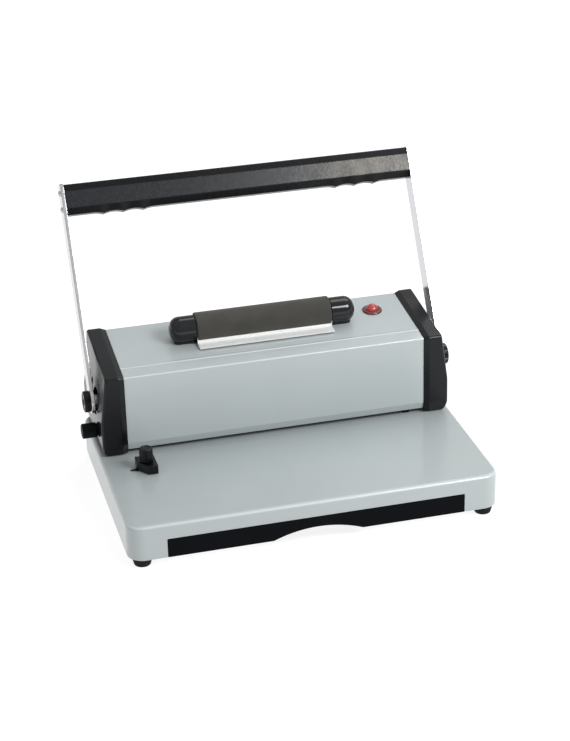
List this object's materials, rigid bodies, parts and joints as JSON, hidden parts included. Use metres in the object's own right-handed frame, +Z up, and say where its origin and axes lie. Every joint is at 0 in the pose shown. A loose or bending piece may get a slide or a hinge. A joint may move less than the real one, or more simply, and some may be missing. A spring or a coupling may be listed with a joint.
{
  "type": "coil binding machine",
  "caption": "Desktop coil punch on a low work table, with a U handle, side caps, a foam coil roller on top and a chip drawer below.",
  "frame": {"origin": "centre of the work table's footprint, on the floor under the feet", "axes": "+X to the right as the user stands in front, +Y to the back, +Z up"},
  "size_m": [0.4293, 0.3393, 0.3153],
  "materials": {
    "paint": "satin",
    "black_gloss": "gloss",
    "black_matte": "satin",
    "bright_steel": "polished",
    "steel": "brushed",
    "zinc": "plain",
    "aluminium": "satin",
    "bronze": "plain",
    "foam": "matte",
    "rubber": "matte",
    "red": "gloss, translucent",
    "board": "matte"
  },
  "bodies": {
    "machine": {"base_cover": "paint", "base_plate": "zinc", "rubber_feet": "rubber", "foot_screws": "zinc", "drawer_runners": "zinc", "left_side_frame": "zinc", "right_side_frame": "zinc", "frame_screws": "zinc", "tie_rods": "zinc", "body_cover": "paint", "left_end_cap": "black_gloss", "right_end_cap": "black_gloss", "end_cap_screws": "zinc", "lower_die": "steel", "throat_spacers": "zinc", "upper_die": "steel", "die_screws": "zinc", "guide_rods": "steel", "return_springs": "steel", "shaft_bushes": "bronze", "motor_bracket": "zinc", "motor_screws": "zinc", "drive_motor": "zinc", "drive_belt": "rubber", "roller_brackets": "zinc", "roller_bearings": "bronze", "left_roller_housing": "black_gloss", "right_roller_housing": "black_gloss", "coil_ledge": "aluminium", "switch_bezel": "black_matte", "switch_body": "black_matte", "power_inlet": "black_matte", "inlet_pins": "bronze", "inlet_screws": "zinc", "control_board": "board", "board_parts": "black_matte", "board_standoffs": "bronze", "right_edge_stop": "black_matte"},
    "handle": {"main_shaft": "steel", "punch_cams": "steel", "left_arm": "bright_steel", "right_arm": "bright_steel", "grip_bar": "black_matte", "grip_screws": "zinc", "pivot_bolts": "black_matte"},
    "ram": {"ram_bar": "steel", "punch_pins": "steel"},
    "coil_roller": {"roller_shaft": "steel", "foam_sleeve": "foam", "roller_pulley": "rubber"},
    "motor_drive": {"motor_pulley": "rubber"},
    "start_button": {"power_button": "red"},
    "edge_guide_slide": {"edge_guide": "black_matte", "guide_nut": "zinc"},
    "clamp_knob": {"guide_knob": "black_matte"},
    "margin_control": {"margin_shaft": "steel", "margin_knob": "black_matte"},
    "stop_slide": {"depth_stop": "zinc"},
    "chip_drawer": {"drawer_front": "black_matte", "drawer_tray": "black_matte"}
  },
  "joints": [
    {"name": "handle_pivot", "type": "hinge", "parent": "machine", "child": "handle", "pos_m": [0, 0.066, 0.101], "axis": [1, 0, 0], "range_deg": [0, 105]},
    {"name": "ram_slide", "type": "slide", "parent": "machine", "child": "ram", "axis": [0, 0, -1], "range_m": [0, 0.0101], "stiffness_N_per_m": 1500, "springref_m": -0.006, "deforming": ["return_springs"]},
    {"name": "roller_spin", "type": "hinge", "parent": "machine", "child": "coil_roller", "pos_m": [0, 0.08747, 0.16386], "axis": [1, 0, 0], "continuous": true},
    {"name": "motor_spin", "type": "hinge", "parent": "machine", "child": "motor_drive", "pos_m": [0, 0.11, 0.0835], "axis": [1, 0, 0], "continuous": true},
    {"name": "button_press", "type": "slide", "parent": "machine", "child": "start_button", "axis": [0, 0.1028, -0.9947], "range_m": [0, 0.0025], "stiffness_N_per_m": 400, "springref_m": -0.001},
    {"name": "edge_guide_slide", "type": "slide", "parent": "machine", "child": "edge_guide_slide", "axis": [1, 0, 0], "range_m": [-0.002, 0.008]},
    {"name": "clamp_turn", "type": "hinge", "parent": "edge_guide_slide", "child": "clamp_knob", "pos_m": [-0.159, -0.015, 0], "axis": [0, 0, 1], "range_deg": [-180, 0]},
    {"name": "margin_turn", "type": "hinge", "parent": "machine", "child": "margin_control", "pos_m": [0, 0.058, 0.069], "axis": [1, 0, 0], "range_deg": [-45, 45]},
    {"name": "stop_shift", "type": "slide", "parent": "machine", "child": "stop_slide", "axis": [0, 1, 0], "range_m": [-0.00106, 0.00106]},
    {"name": "drawer_pull", "type": "slide", "parent": "machine", "child": "chip_drawer", "axis": [0, -1, 0], "range_m": [0, 0.15]}
  ],
  "couplings": [
    {"joint": "ram_slide", "follows": "handle_pivot", "m_per_rad": 0.0054567},
    {"joint": "motor_spin", "follows": "roller_spin", "ratio": 1.375},
    {"joint": "margin_turn", "follows": "stop_shift", "rad_per_m": -740.74}
  ]
}
